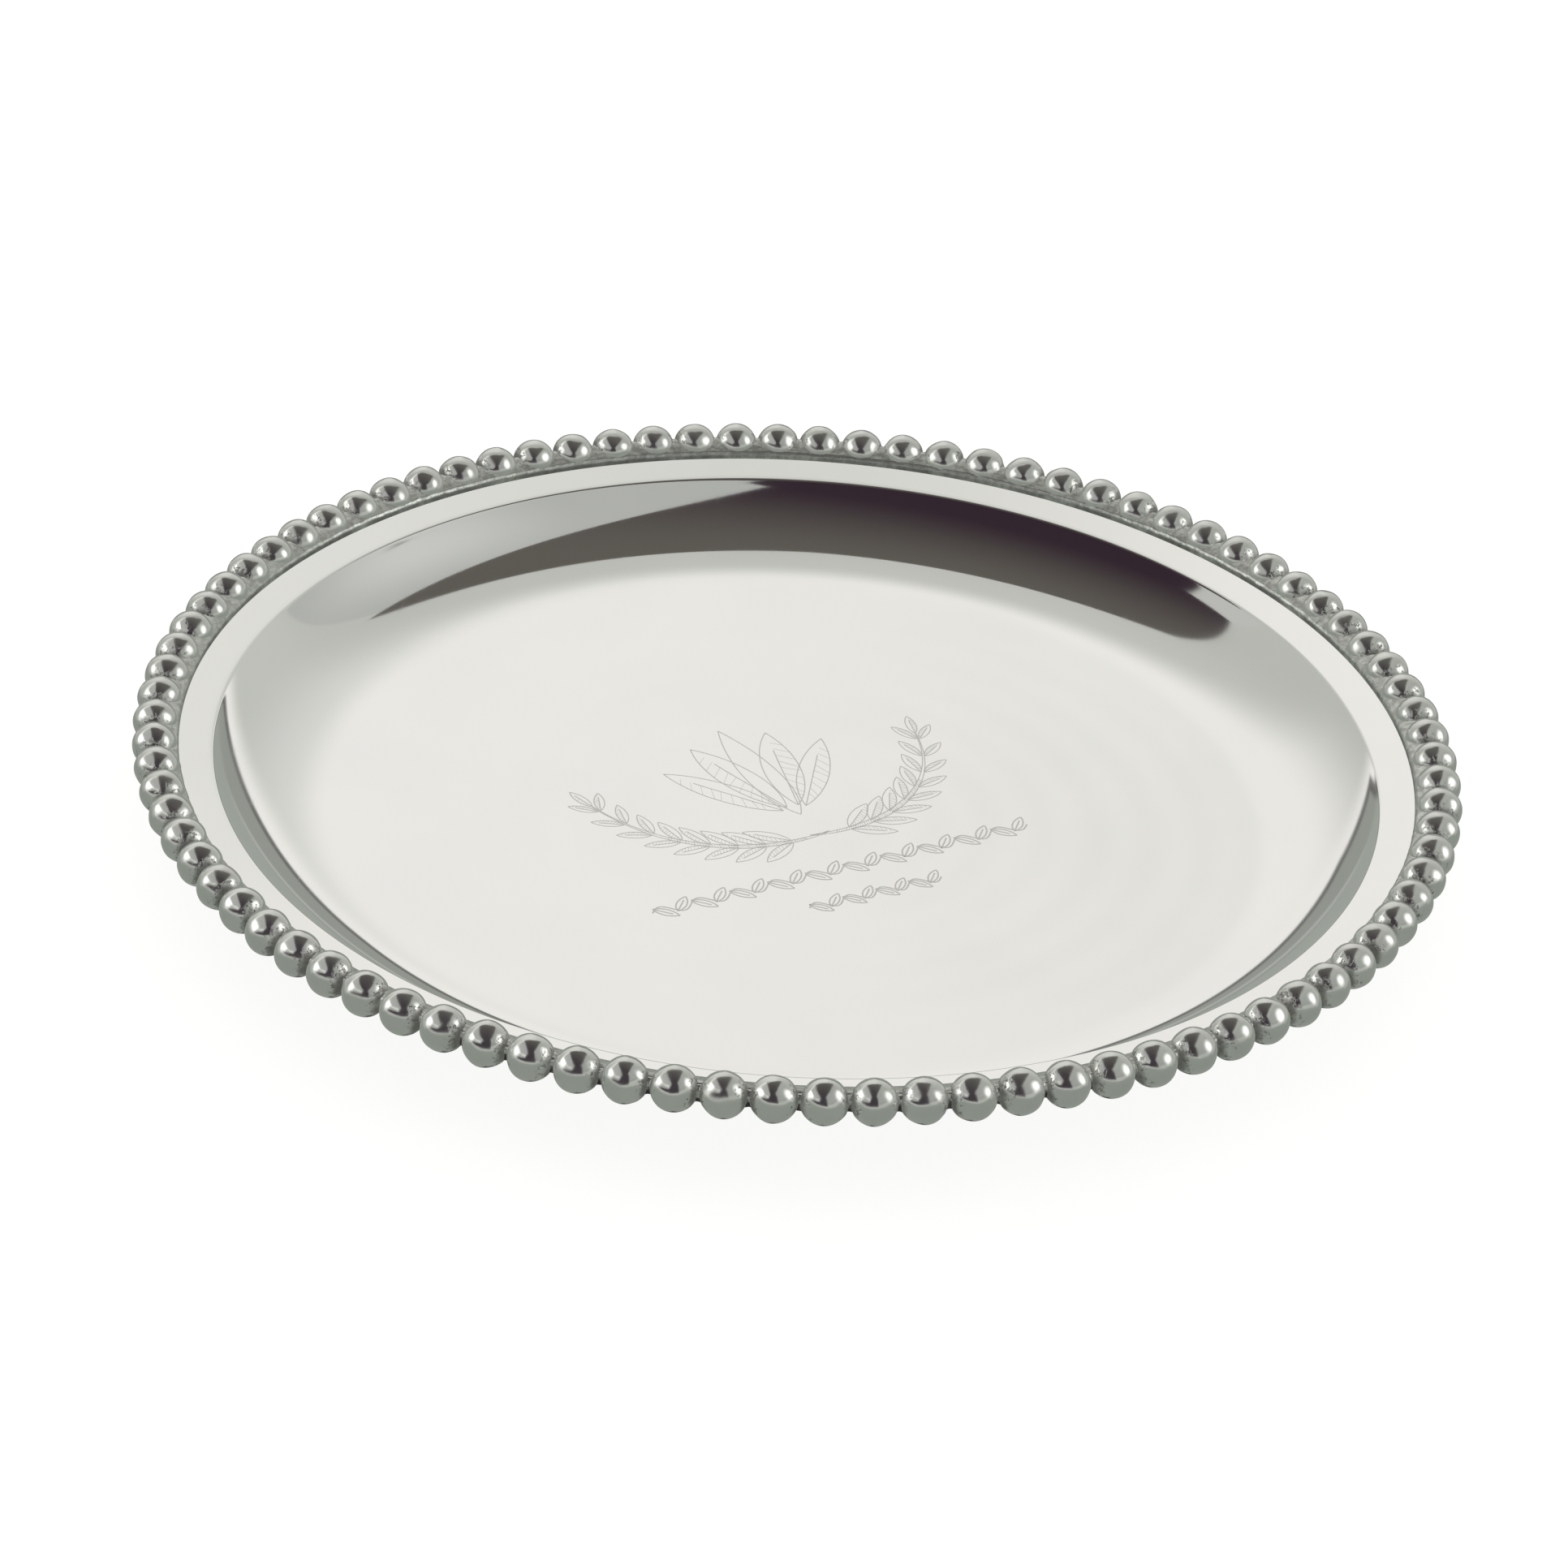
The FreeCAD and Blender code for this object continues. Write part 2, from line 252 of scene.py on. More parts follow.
def metal(name, build):
    """A metal whose shader takes the colour, roughness and normal that build gives."""
    material = bpy.data.materials.new(name)
    material.use_nodes = True
    tree = material.node_tree
    shader = tree.nodes["Principled BSDF"]
    shader.inputs["Metallic"].default_value = 1.0
    colour, roughness, normal = build(tree)
    feed(tree, colour, shader.inputs["Base Color"])
    feed(tree, roughness, shader.inputs["Roughness"])
    feed(tree, normal, shader.inputs["Normal"])
    return material


# ---------------------------------------------------------------- materials

# Metal colours by where they are.
POLISHED, POLISHED_DULL = (0.945, 0.945, 0.925), (0.925, 0.927, 0.912)
BRUSHED, BRUSHED_DULL = (0.80, 0.81, 0.79), (0.70, 0.70, 0.68)
# The darkest bead colour is painted shade towards the necks and underside, and the dark of the pits.
BEAD, BEAD_DULL, BEAD_PITS_AND_SHADE = (0.78, 0.79, 0.76), (0.66, 0.675, 0.64), (0.16, 0.145, 0.135)
# The darkest bank colour is painted shade along the bank's upright foot.
BANK_DARK, BANK_LIGHT, BANK_FOOT_SHADE = (0.43, 0.44, 0.415), (0.64, 0.66, 0.62), (0.085, 0.07, 0.075)
# The dark neck colour is painted shade on the lower side of the necks.
NECK, NECK_SHADE = (0.58, 0.59, 0.56), (0.06, 0.05, 0.052)
CUT, CUT_BRIGHT = (0.60, 0.60, 0.585), (0.72, 0.72, 0.70)

# Depths of the fine relief, from crest to hollow.
SCRATCH_RELIEF = 0.0025 * MM
BRUSHED_RELIEF = 0.01 * MM
BANK_RELIEF = 0.11 * MM
BEAD_RELIEF = 0.13 * MM
NECK_RELIEF = 0.12 * MM
CUT_RELIEF = 0.02 * MM

# Stretched noise: cycles a metre across and along the streaks, and the streaks' direction.
WIPE_SCALE, WIPE_TURN = (900, 22, 22), math.radians(38)
CLOTH_SCALE, CLOTH_TURN = (500, 40, 40), math.radians(-24)
BRUSH_SCALE = (60, 60, 4000)


def polished(tree):
    """Mirror polish with wipe marks and fine straight scratches."""
    smudge = noise(tree, place_texture(tree), 26.0, 3.0, 0.55)
    wipe = noise(tree, place_texture(tree, WIPE_SCALE, (0, 0, WIPE_TURN)), 1.0, 3.0, 0.6)
    cloth = noise(tree, place_texture(tree, CLOTH_SCALE, (0, 0, CLOTH_TURN)), 1.0, 2.0, 0.5)
    colour = blend_colours(tree, smudge.step(0.3, 0.75), POLISHED, POLISHED_DULL)
    roughness = smudge.step(0.35, 0.7, 0.045, 0.075) + wipe.step(0.55, 0.8, 0.0, 0.03)
    scratches = bump(tree, wipe * 0.6 + cloth * 0.4, SCRATCH_RELIEF)
    return colour, roughness, scratches


def satin(tree):
    """The turned and brushed foot ring."""
    brushed = noise(tree, place_texture(tree, BRUSH_SCALE), 1.0, 4.0, 0.6)
    blotch = noise(tree, place_texture(tree), 60.0, 3.0)
    colour = blend_colours(tree, blotch, BRUSHED, BRUSHED_DULL)
    return colour, brushed.step(0.2, 0.8, 0.24, 0.4), bump(tree, brushed, BRUSHED_RELIEF)


def cast(tree):
    """Matte cast metal, mottled and pitted, with patchy painted shade along its foot."""
    mottle = noise(tree, place_texture(tree), 640.0, 5.0, 0.7)
    grain = noise(tree, place_texture(tree), 1900.0, 4.0, 0.6)
    foot = add_node(tree, "ShaderNodeAttribute", output=2, attribute_name="foot")
    broad = noise(tree, place_texture(tree), 90.0, 3.0)
    base_tone = blend_colours(tree, mottle.step(0.36, 0.64), BANK_DARK, BANK_LIGHT)
    # Patchy painted shade on the upright foot of the bank.
    painted_shade = foot * broad.step(0.35, 0.6, 0.15, 0.6)
    colour = blend_colours(tree, painted_shade, base_tone, BANK_FOOT_SHADE)
    roughness = mottle.step(0.3, 0.7, 0.42, 0.27)
    return colour, roughness, bump(tree, mottle * 0.6 + grain * 0.4, BANK_RELIEF)


def beaded(tree):
    """Polished cast beads: light on the crown, pitted towards the necks, and darker there and underneath
    by painted shade.
    """
    neck = add_node(tree, "ShaderNodeAttribute", output=2, attribute_name="neck")
    pits = noise(tree, place_texture(tree), 1100.0, 3.0, 0.6)
    cloud = noise(tree, place_texture(tree), 170.0, 3.0, 0.6)
    # Painted shade: darker towards the necks and the underside.
    painted_shade = (neck + (cloud - 0.5) * 0.6).step(0.72, 1.05)
    pitted = pits.step(0.52, 0.64) * (neck + (cloud - 0.5) * 1.4).step(0.45, 0.9)
    base_tone = blend_colours(tree, cloud, BEAD, BEAD_DULL)
    colour = blend_colours(tree, painted_shade.most(pitted) * 0.8, base_tone, BEAD_PITS_AND_SHADE)
    roughness = painted_shade.step(0.0, 1.0, 0.16, 0.34) + cloud.step(0.4, 0.7, 0.0, 0.07)
    return colour, roughness, bump(tree, pitted * -1.0 + cloud * 0.4, BEAD_RELIEF)


def neck_shading(tree):
    """The necks between the beads, in painted shade: dull on top and black below."""
    low = add_node(tree, "ShaderNodeAttribute", output=2, attribute_name="low")
    mottle = noise(tree, place_texture(tree), 700.0, 4.0, 0.65)
    # Painted shade, darker towards the bottom of each neck.
    shade = (mottle + (low - 0.5) * 0.8).step(0.3, 0.7)
    colour = blend_colours(tree, shade, NECK, NECK_SHADE)
    return colour, mottle.step(0.3, 0.7, 0.38, 0.18), bump(tree, mottle, NECK_RELIEF)


def engraved(tree):
    """The bright floor cut through to a matte grey line."""
    cut = noise(tree, place_texture(tree), 2400.0, 2.0)
    colour = blend_colours(tree, cut, CUT, CUT_BRIGHT)
    return colour, cut.step(0.2, 0.8, 0.30, 0.42), bump(tree, cut, CUT_RELIEF)


# ---------------------------------------------------------------- dish

LIFT_REACH = 18 * MM
LIFT_RISE = 0.24 * MM
RIPPLE_HEIGHT = 0.022 * MM
RIPPLE_PITCH = 12.5 * MM
LONG_RIPPLE_PITCH = 31 * MM
RIPPLE_FADE_OUT = 12 * MM
RIPPLE_FADE_IN = 25 * MM
HUB_RADIUS = 0.4 * MM
DISH_SEGMENTS = 720


def lift(radius):
    """How far the floor eases up into the cove, on top of the drawn section."""
    slope = 2 * LIFT_RISE / LIFT_REACH
    before = LIFT_RISE * np.clip(1 + (radius - FLOOR_RADIUS) / LIFT_REACH, 0, 1) ** 2
    cove = WELL_RADIUS - FLOOR_RADIUS
    t = np.clip((radius - FLOOR_RADIUS) / cove, 0, 1)
    after = LIFT_RISE * (1 - t) ** 2 * (1 + 2 * t) + slope * cove * t * (1 - t) ** 2
    return np.where(radius < FLOOR_RADIUS, before, after)


def ripple_height(radius, angle):
    """Turning marks in the floor: rings a finger's width apart that fade at the cove."""
    outer_fade = np.clip((FLOOR_RADIUS - radius) / RIPPLE_FADE_OUT, 0, 1)
    inner_fade = np.clip(radius / RIPPLE_FADE_IN, 0, 1)
    wander = 0.6 * np.sin(angle) + 0.4 * np.sin(2 * angle)
    rings = np.sin(2 * np.pi * radius / RIPPLE_PITCH + wander)
    longer = np.sin(2 * np.pi * radius / LONG_RIPPLE_PITCH + 0.9 * np.cos(angle))
    return RIPPLE_HEIGHT * outer_fade * inner_fade * (rings + 1.3 * longer)


def shape_dish(points):
    """Ripples and lift on the upper side of the sheet, where its rows run outward."""
    radius = np.hypot(points[..., 0], points[..., 1])
    angle = np.arctan2(points[..., 1], points[..., 0])
    upper = np.arange(len(points)) < np.argmax(radius[:, 0])
    change = lift(radius) + ripple_height(radius, angle)
    points[..., 2] += np.where(upper[:, None], change, 0)
    return points


def dish_outline():
    """The sheet's section from the middle of the floor's top, over the rim and back underneath.

    The last number of each stretch is how many points it has.
    """
    cove_centre = (FLOOR_RADIUS, FLOOR_HEIGHT + COVE_RADIUS)
    start = -math.pi / 2
    lip_turn = COVE_ANGLE - RIM_SLOPE
    lip_reach = LIP_RADIUS * math.tan(lip_turn / 2)
    cove_stop = COVE_ANGLE - lip_reach / COVE_RADIUS
    cove_end = (FLOOR_RADIUS + COVE_RADIUS * math.sin(cove_stop),
                FLOOR_HEIGHT + COVE_RADIUS * (1 - math.cos(cove_stop)))
    lip_centre = (cove_end[0] + LIP_RADIUS * math.sin(cove_stop),
                  cove_end[1] - LIP_RADIUS * math.cos(cove_stop))
    lip_end = (WELL_RADIUS + lip_reach, WELL_HEIGHT + lip_reach * math.tan(RIM_SLOPE))
    edge = (RIM_OUTER, RIM_EDGE_HEIGHT)
    edge_under = (RIM_OUTER, RIM_EDGE_HEIGHT - SHEET / math.cos(RIM_SLOPE))
    corner_thickness = 0.86 * SHEET
    corner_turn = 0.02
    well_under = (WELL_RADIUS + corner_thickness * math.sin(COVE_ANGLE),
                  WELL_HEIGHT - corner_thickness * math.cos(RIM_SLOPE))
    return (
        [(r, FLOOR_HEIGHT) for r in np.linspace(HUB_RADIUS, FLOOR_RADIUS, 110)]
        + arc(cove_centre, COVE_RADIUS, start, start + cove_stop, 60)[1:]
        + arc(lip_centre, LIP_RADIUS, math.pi / 2 + cove_stop, math.pi / 2 + RIM_SLOPE, 12)[1:]
        + straight(lip_end, edge, 16)
        + [edge, edge_under]
        + straight(edge_under, well_under, 8)
        + [well_under]
        + arc(cove_centre, COVE_RADIUS + SHEET, start + COVE_ANGLE - corner_turn, start, 40)
        + [(r, FOOT_HEIGHT) for r in np.linspace(FLOOR_RADIUS, HUB_RADIUS, 30)[1:]]
    )


def make_dish():
    """The polished sheet, closed by a fan at the middle of its top and of its underside."""
    profile = dish_outline()
    points = turned(profile, DISH_SEGMENTS, shape_dish).reshape(-1, 3)
    faces = grid_faces(len(profile), DISH_SEGMENTS)
    last = len(profile) - 1
    centres = [(0, 0, FLOOR_HEIGHT), (0, 0, FOOT_HEIGHT)]
    for centre, row, order in ((len(points), 0, -1), (len(points) + 1, last, 1)):
        ring = row * DISH_SEGMENTS + np.arange(DISH_SEGMENTS)
        faces += [(centre, a, b)[::order] for a, b in zip(ring.tolist(), np.roll(ring, -1).tolist())]
    dish = add_mesh("polished_dish", [*points, *centres], faces, metal("polished_silver", polished))
    return dish, "salver_dish", "polished_silver"


# ---------------------------------------------------------------- beads

BEAD_ROWS = 48
BEAD_COLUMNS = 64
BEAD_SEED = 1000
BEAD_INSET = 0.06 * MM
POLE_REACH = 0.985 * BEAD_RADIUS


def bead_grid():
    """A unit ball without its poles, which lie on the ring's tangent, as (rows, columns, 3)."""
    polar = np.linspace(0, math.pi, BEAD_ROWS + 2)[1:-1]
    around = 2 * np.pi * np.arange(BEAD_COLUMNS) / BEAD_COLUMNS
    tangent = np.cos(polar)[:, None] * np.ones(BEAD_COLUMNS)[None, :]
    outward = np.sin(polar)[:, None] * np.cos(around)[None, :]
    upward = np.sin(polar)[:, None] * np.sin(around)[None, :]
    return np.stack([outward, tangent, upward], axis=-1)


def bead_shape(unit, draw):
    """One cast bead, in ring directions about its centre: out of round, lumpy and dented."""
    squash = 1 + draw.uniform(-0.008, 0.004, 3)
    lumps = waves(unit * BEAD_RADIUS, 6 * MM, 6, draw.integers(1 << 30)) * 0.04 * MM
    dents = waves(unit * BEAD_RADIUS, 2.4 * MM, 9, draw.integers(1 << 30)) * 0.016 * MM
    side = np.clip((np.abs(unit[..., 1]) - 0.45) / 0.4, 0, 1)
    reach = BEAD_RADIUS - BEAD_INSET + lumps + dents * (0.15 + side)
    return unit * squash * reach[..., None]


def make_beads(name, first, count):
    """One length of the border: count beads from bead number first, counted from +X."""
    draw = np.random.default_rng(BEAD_SEED + first)
    unit = bead_grid()
    # 1 towards the necks and a little towards the underside: where the pits and the painted shade lie.
    side = np.clip((np.abs(unit[..., 1]) - 0.3) / 0.62, 0, 1) + 0.3 * np.clip(-unit[..., 2], 0, 1)
    vertices, faces, neck = [], [], []
    for k in range(first, first + count):
        angle = (k + 0.5) * 2 * math.pi / BEAD_COUNT
        outward = np.array([math.cos(angle), math.sin(angle), 0])
        tangent = np.array([-math.sin(angle), math.cos(angle), 0])
        axes = np.array([outward, tangent, [0, 0, 1]])
        centre = outward * RING_RADIUS + np.array([0, 0, BEAD_HEIGHT])
        start = len(vertices)
        body = bead_shape(unit, draw).reshape(-1, 3) @ axes + centre
        poles = [centre + tangent * POLE_REACH, centre - tangent * POLE_REACH]
        vertices.extend([*body, *poles])
        faces += [f[::-1] for f in grid_faces(BEAD_ROWS, BEAD_COLUMNS, start)]
        first_ring = start + np.arange(BEAD_COLUMNS)
        last_ring = first_ring + (BEAD_ROWS - 1) * BEAD_COLUMNS
        pole = start + len(body)
        for tip, near, far in ((pole, np.roll(first_ring, -1), first_ring),
                               (pole + 1, last_ring, np.roll(last_ring, -1))):
            faces += [(tip, a, b) for a, b in zip(near.tolist(), far.tolist())]
        neck.extend([*side.reshape(-1), 1.0, 1.0])
    beads = add_mesh("polished_" + name, vertices, faces, bead_material)
    paint(beads, "neck", neck)
    return beads, name, "bead_silver"


# ---------------------------------------------------------------- ring pieces

NECK_STEPS_A_BEAD = 32
NECK_COLUMNS = 48
NECK_WIDE = 0.46 * CORE_RADIUS
NECK_ABOVE = 0.66 * CORE_RADIUS
NECK_BELOW = 0.96 * CORE_RADIUS
NECK_FLARE = 0.25 * MM
BANK_SEGMENTS = 2400
BANK_STEP = 0.25 * MM
FOOT_SEGMENTS = 480
FOOT_EASE = 0.25 * MM


def unevenness(points, *layers):
    """Layers of waves, each (length, count, seed, height), added up."""
    return sum(waves(points, length, count, seed) * height for length, count, seed, height in layers)


def make_necks():
    """The webs between the beads: a wire that flares where it goes into each bead."""
    count = BEAD_COUNT * NECK_STEPS_A_BEAD
    angle = 2 * np.pi * np.arange(count) / count
    share = (angle * BEAD_COUNT / (2 * np.pi) + 0.5) % 1.0 - 0.5
    from_gap = np.abs(share) * BEAD_PITCH
    flare = np.minimum(NECK_FLARE * (from_gap / MM) ** 2, NECK_FLARE)[:, None]
    around = 2 * np.pi * np.arange(NECK_COLUMNS) / NECK_COLUMNS
    ring = RING_RADIUS + (NECK_WIDE + flare) * np.cos(around)[None, :]
    tall = np.where(np.sin(around) > 0, NECK_ABOVE, NECK_BELOW)
    z = BEAD_HEIGHT + (tall + flare) * np.sin(around)[None, :]
    points = np.stack([ring * np.cos(angle)[:, None], ring * np.sin(angle)[:, None], z], axis=-1)
    outward = np.stack([np.cos(around)[None, :] * np.cos(angle)[:, None],
                        np.cos(around)[None, :] * np.sin(angle)[:, None],
                        np.broadcast_to(np.sin(around)[None, :], z.shape)], axis=-1)
    rough = unevenness(points, (1.3 * MM, 14, 5, 0.035 * MM), (3 * MM, 8, 6, 0.05 * MM))
    points += outward * rough[..., None]
    faces = grid_faces(count, NECK_COLUMNS, wrap_rows=True)
    necks = add_mesh("neck_ring", points.reshape(-1, 3), faces, metal("neck_silver", neck_shading))
    # Where the necks' painted shade lies: 1 at their bottom, 0 at their top.
    low = np.broadcast_to(0.5 - 0.5 * np.sin(around)[None, :], z.shape)
    paint(necks, "low", low.ravel())
    return necks, "core_wire", "cast_silver"


def make_bank():
    """The cast bank on the beads' inner side. The beads come out of its sloping top."""
    inner, z = BEZEL_INNER - 0.5 * MM, BEAD_HEIGHT
    front = [(inner, BAND_HEIGHT - 0.25 * MM), (inner + 0.05 * MM, z - 0.15 * MM),
             (inner + 0.4 * MM, z + 0.45 * MM), (inner + 2.2 * MM, z + 1.25 * MM),
             (inner + 4.2 * MM, z + 1.9 * MM), (inner + 5.1 * MM, z + 1.85 * MM)]
    back = [(inner + 5.4 * MM, z + 1.1 * MM), (inner + 3.6 * MM, BAND_HEIGHT - 0.05 * MM)]
    corners = front + back + front[:1]
    outline = []
    for start, end in zip(corners, corners[1:]):
        steps = max(2, round(math.dist(start, end) / BANK_STEP))
        outline += [start] + straight(start, end, steps - 1)
    points = turned(outline, BANK_SEGMENTS)
    radial = points * np.array([1, 1, 0])
    radial /= np.linalg.norm(radial, axis=-1)[..., None]
    rough = unevenness(points, (1.5 * MM, 18, 21, 0.022 * MM), (4.5 * MM, 9, 22, 0.04 * MM))
    rough *= np.clip((points[..., 2] - BAND_HEIGHT) / (0.9 * MM), 0, 1)
    points += radial * rough[..., None]
    points[..., 2] += rough
    faces = grid_faces(len(outline), BANK_SEGMENTS, wrap_rows=True)
    bank = add_mesh("cast_bank", points.reshape(-1, 3), faces, metal("cast_silver", cast))
    # Where the bank's painted shade lies: its upright foot.
    upright = np.clip((z - 0.1 * MM - points[..., 2]) / (0.5 * MM), 0, 1)
    paint(bank, "foot", upright.ravel())
    return bank, "rim_bezel", "cast_silver"


def make_foot():
    """The foot ring, eased on its two lower edges."""
    inner = FOOT_OUTER - FOOT_WIDTH
    flank = (FOOT_WIDTH - FOOT_TREAD) / 2
    tread_in, tread_out = inner + flank, FOOT_OUTER - flank
    ease, crease = FOOT_EASE, 0.02 * MM
    outline = (
        [(inner, FOOT_HEIGHT), (inner + crease, FOOT_HEIGHT - crease)]
        + straight((inner, FOOT_HEIGHT), (tread_in - ease * 0.5, ease), 6)
        + arc((tread_in + ease * 0.5, ease), ease, math.radians(200), math.radians(270), 5)
        + straight((tread_in + ease, 0), (tread_out - ease, 0), 4)
        + arc((tread_out - ease * 0.5, ease), ease, math.radians(270), math.radians(340), 5)
        + straight((tread_out + ease * 0.5, ease), (FOOT_OUTER, FOOT_HEIGHT), 6)
        + [(FOOT_OUTER - crease, FOOT_HEIGHT - crease), (FOOT_OUTER, FOOT_HEIGHT)]
    )
    points = turned(outline, FOOT_SEGMENTS).reshape(-1, 3)
    faces = grid_faces(len(outline), FOOT_SEGMENTS, wrap_rows=True)
    foot = add_mesh("turned_foot_ring", points, faces, metal("satin_silver", satin))
    return foot, "foot_ring", "satin_silver"


# ---------------------------------------------------------------- ornament

ORNAMENT_MIDDLE = np.array([0.7, 14.0]) * MM
LINE_WIDTH = 0.27 * MM
HATCH_WIDTH = 0.10 * MM
HATCH_PITCH = 0.5 * MM
HATCHED_FROM = 0.45 * MM
STROKE_TIP = 0.12
RIBBON_PROUD = 0.012 * MM
RIBBON_DEPTH = 0.3 * MM


def bezier(corners, steps):
    """Points along a cubic curve through its first and last corner."""
    t = np.linspace(0, 1, steps)[:, None]
    a, b, c, d = np.array(corners, float)
    return (1 - t) ** 3 * a + 3 * t * (1 - t) ** 2 * b + 3 * t**2 * (1 - t) * c + t**3 * d


def sides_of(path):
    """Unit vectors to the left of each point of a path."""
    along = np.gradient(path, axis=0)
    along /= np.linalg.norm(along, axis=1)[:, None] + 1e-12
    return np.stack([-along[:, 1], along[:, 0]], axis=-1)


def hatch(path, half_widths):
    """Short slanted lines across a stroke, where it is wide enough to hold them."""
    left = sides_of(path)
    length = np.concatenate([[0], np.cumsum(np.linalg.norm(np.diff(path, axis=0), axis=1))])
    lines = []
    for place in np.arange(HATCH_PITCH, length[-1] - HATCH_PITCH, HATCH_PITCH):
        i = int(np.searchsorted(length, place))
        j = max(0, i - 1)
        if half_widths[i] > HATCHED_FROM:
            ends = (path[i] + left[i] * half_widths[i], path[j] - left[j] * half_widths[j])
            lines.append(np.array(ends))
    return lines


def stroke(path, widest, swell=1.5):
    """A pen stroke in mm: thin at its ends, swelling between, as two outlines with hatching."""
    path = np.array(path) * MM
    t = np.linspace(0, 1, len(path)) ** 0.7
    half = (STROKE_TIP + (widest / 2 - STROKE_TIP) * np.sin(np.pi * t) ** swell) * MM
    left = sides_of(path)
    outlines = [path + left * half[:, None], path - left * half[:, None]]
    hatching = [(line, HATCH_WIDTH) for line in hatch(path, half)]
    return [(line, LINE_WIDTH) for line in outlines] + hatching


def leaf(root, tip, fullness):
    """Both edges of a pointed leaf, and its rib."""
    root, tip = np.array(root, float), np.array(tip, float)
    along = tip - root
    across = np.array([-along[1], along[0]]) * fullness
    lines = []
    for side in (-1, 1):
        belly = across * side
        lines.append(bezier([root, root + along * 0.25 + belly, root + along * 0.7 + belly, tip], 22))
    lines.append(bezier([root, root + along * 0.3, root + along * 0.5, root + along * 0.75], 8))
    return lines


def shaded_leaf(root, tip, fullness):
    """A leaf with fine lines across one half of it, in mm."""
    near, far, rib = leaf(root, tip, fullness)
    lines = [(edge * MM, LINE_WIDTH) for edge in (near, far, rib)]
    root, tip = np.array(root, float), np.array(tip, float)
    for share in np.linspace(0.12, 0.8, 9):
        edge = near[round(share * (len(near) - 1))]
        lines.append((np.array([root + (tip - root) * (share + 0.06), edge]) * MM, HATCH_WIDTH))
    return lines


def laurel():
    """One half of the middle ornament, in mm from its middle: a laurel branch beside a palmette."""
    stem = bezier([(-2.5, -25), (16, -29), (37, -19), (43, 6)], 90)
    lines = stroke(stem, 1.5)
    along, left = np.gradient(stem, axis=0), sides_of(stem)
    along /= np.linalg.norm(along, axis=1)[:, None]
    for k, i in enumerate(np.linspace(16, 86, 8).round().astype(int)):
        size = 11.5 - 0.55 * k
        for side in (-1, 1):
            root = stem[i] + left[i] * 0.4 * side
            tip = root + (along[i] * 0.8 + left[i] * side * (0.62 if side > 0 else 0.5)) * size
            lines += shaded_leaf(root, tip, 0.21 * side)
    lines += shaded_leaf(stem[-1], stem[-1] + along[-1] * 8, 0.2)
    for root, tip, fullness in (((1.5, -12), (10, 20), 0.18), ((3, -13), (21, 12.5), 0.16)):
        lines += shaded_leaf(root, tip, fullness)
    lines.append((bezier([(0, -16), (6.5, -6), (5, 12), (0, 25)], 40) * MM, LINE_WIDTH))
    return lines


def vine(left, right, foot, height):
    """A waving stem with a leaf in each bend, in mm."""
    waves_in_row = max(2, round((right - left) / (1.5 * height)))
    x = np.linspace(left, right, 24 * waves_in_row)
    phase = (x - left) / (right - left) * waves_in_row * 2 * np.pi
    stem = np.stack([x, foot + height * (0.5 + 0.26 * np.sin(phase))], axis=-1)
    lines = [(stem * MM, LINE_WIDTH * 1.5)]
    for k in range(2 * waves_in_row):
        up = 1 if k % 2 == 0 else -1
        x = left + (k + 0.5) / (2 * waves_in_row) * (right - left)
        root = (x - 0.25 * height, foot + height * (0.5 + 0.22 * up))
        tip = (x + 0.42 * height, foot + height * (0.5 - 0.5 * up))
        lines += [(edge * MM, LINE_WIDTH * 1.4) for edge in leaf(root, tip, 0.24)]
    return lines


def ribbon(path, width, start):
    """A closed flat strip along a path, sunk in the floor but for a hair's breadth."""
    left = sides_of(path) * width / 2
    surface = FLOOR_HEIGHT + ripple_height(np.hypot(*path.T), np.arctan2(path[:, 1], path[:, 0]))
    high, low = surface + RIBBON_PROUD, surface - RIBBON_DEPTH
    edges = [(path + left, high), (path - left, high), (path - left, low), (path + left, low)]
    vertices = np.stack([np.column_stack([line, z]) for line, z in edges], axis=1)
    faces = []
    for here in range(start, start + (len(path) - 1) * 4, 4):
        for k in range(4):
            following = (k + 1) % 4
            faces.append([here + k, here + following, here + 4 + following, here + 4 + k])
    last = start + (len(path) - 1) * 4
    ends = [[start + 3, start + 2, start + 1, start], [last + k for k in range(4)]]
    return vertices.reshape(-1, 3), faces + ends


def make_ornament():
    """Engraving in the middle of the floor: a palmette in laurel over two rows of vine."""
    lines = []
    for path, width in laurel():
        lines.append((path + ORNAMENT_MIDDLE, width))
        lines.append((path * (-1, 1) + ORNAMENT_MIDDLE, width))
    lines += vine(-50.7, 47.0, -29.8, 6.6) + vine(-17.1, 17.1, -41.7, 6.0)
    vertices, faces = [], []
    for path, width in lines:
        more, round_it = ribbon(path, width, len(vertices))
        vertices.extend(more)
        faces += round_it
    return add_mesh("engraved_ornament", vertices, faces, metal("engraved_silver", engraved), smooth=False)


# ---------------------------------------------------------------- studio

CAMERA_AZIMUTH = math.radians(-30.66)
CAMERA_ELEVATION = math.radians(30.39)
CAMERA_DISTANCE = 9.2053 * RING_RADIUS
CAMERA_LENS = 135.47
CAMERA_ROLL = math.radians(-3.947)
CAMERA_SENSOR = 36.0
# How far the lens is aimed off the ring's centre, in radians.
AIM_RIGHT = -0.002036
AIM_UP = -0.007222


def turn_pair(first, second, angle):
    """Two unit vectors at right angles, turned in the plane that they lie in."""
    c, s = math.cos(angle), math.sin(angle)
    return c * first - s * second, s * first + c * second


